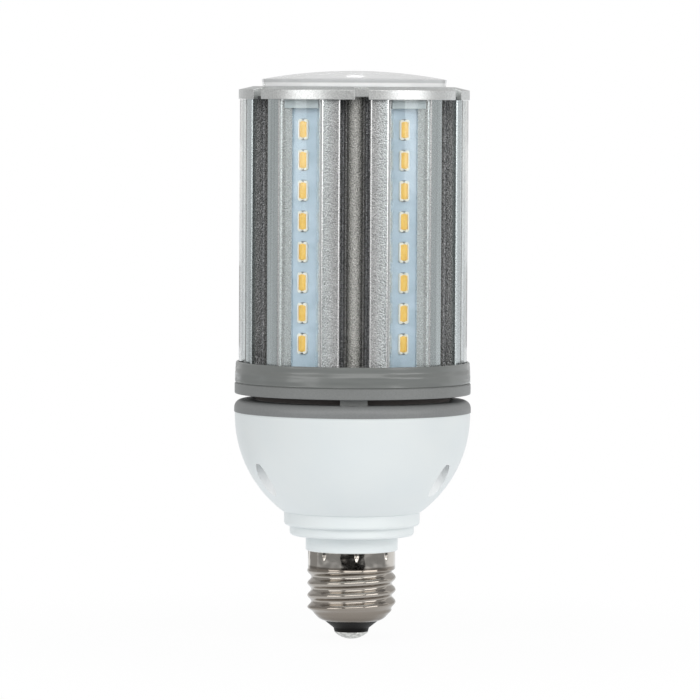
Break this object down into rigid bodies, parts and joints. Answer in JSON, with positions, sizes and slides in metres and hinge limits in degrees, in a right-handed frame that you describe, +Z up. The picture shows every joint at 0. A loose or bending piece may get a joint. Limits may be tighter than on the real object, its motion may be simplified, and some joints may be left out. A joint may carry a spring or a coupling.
{
  "type": "led lamp",
  "caption": "Straight corn-type LED lamp with LED panels round an extruded heat sink, domed top lens, vented neck, white driver housing and a medium screw base",
  "frame": {"origin": "On the lamp's axis at the underside of the collar, where the screw shell's skirt starts", "axes": "+Z runs up the lamp from its screw base to its top lens; -Y is the side that faces the picture's camera, with one ribbed groove in the middle"},
  "size_m": [0.0704, 0.0704, 0.1691],
  "materials": {
    "milky_lens": "satin",
    "aluminium": "brushed",
    "white_board": "gloss",
    "phosphor": "gloss",
    "clear_cover": "gloss",
    "grey_gloss": "gloss",
    "grey_satin": "satin",
    "white_plastic": "gloss",
    "nickel": "gloss",
    "black_insulator": "gloss",
    "solder": "satin",
    "zinc_steel": "satin",
    "driver_laminate": "gloss",
    "ferrite": "matte",
    "winding_tape": "gloss",
    "capacitor_sleeve": "satin",
    "film_dip": "gloss",
    "black_moulding": "matte",
    "lead_jacket": "satin"
  },
  "bodies": {
    "root": {"base_insulator": "black_insulator", "board_screws": "zinc_steel", "bridge_rectifier": "black_moulding", "bulk_capacitor": "capacitor_sleeve", "cap_screws": "zinc_steel", "contact_tip": "solder", "driver_board": "driver_laminate", "driver_housing": "white_plastic", "film_capacitor": "film_dip", "foot_screws": "zinc_steel", "heat_sink": "aluminium", "housing_lid": "grey_satin", "housing_screws": "zinc_steel", "led_board_1": "white_board", "led_board_2": "white_board", "led_board_3": "white_board", "led_board_4": "white_board", "led_board_5": "white_board", "led_board_6": "white_board", "led_chips_1": "phosphor", "led_chips_2": "phosphor", "led_chips_3": "phosphor", "led_chips_4": "phosphor", "led_chips_5": "phosphor", "led_chips_6": "phosphor", "lid_screws": "zinc_steel", "live_lead": "lead_jacket", "neutral_lead": "lead_jacket", "output_capacitor": "capacitor_sleeve", "output_leads": "lead_jacket", "panel_cover_1": "clear_cover", "panel_cover_2": "clear_cover", "panel_cover_3": "clear_cover", "panel_cover_4": "clear_cover", "panel_cover_5": "clear_cover", "panel_cover_6": "clear_cover", "screw_shell": "nickel", "sink_ring": "grey_gloss", "top_cap": "aluminium", "top_led_board": "white_board", "top_led_chips": "phosphor", "top_lens": "milky_lens", "transformer_core": "ferrite", "transformer_winding": "winding_tape", "vent_ring": "grey_satin"}
  },
  "joints": []
}
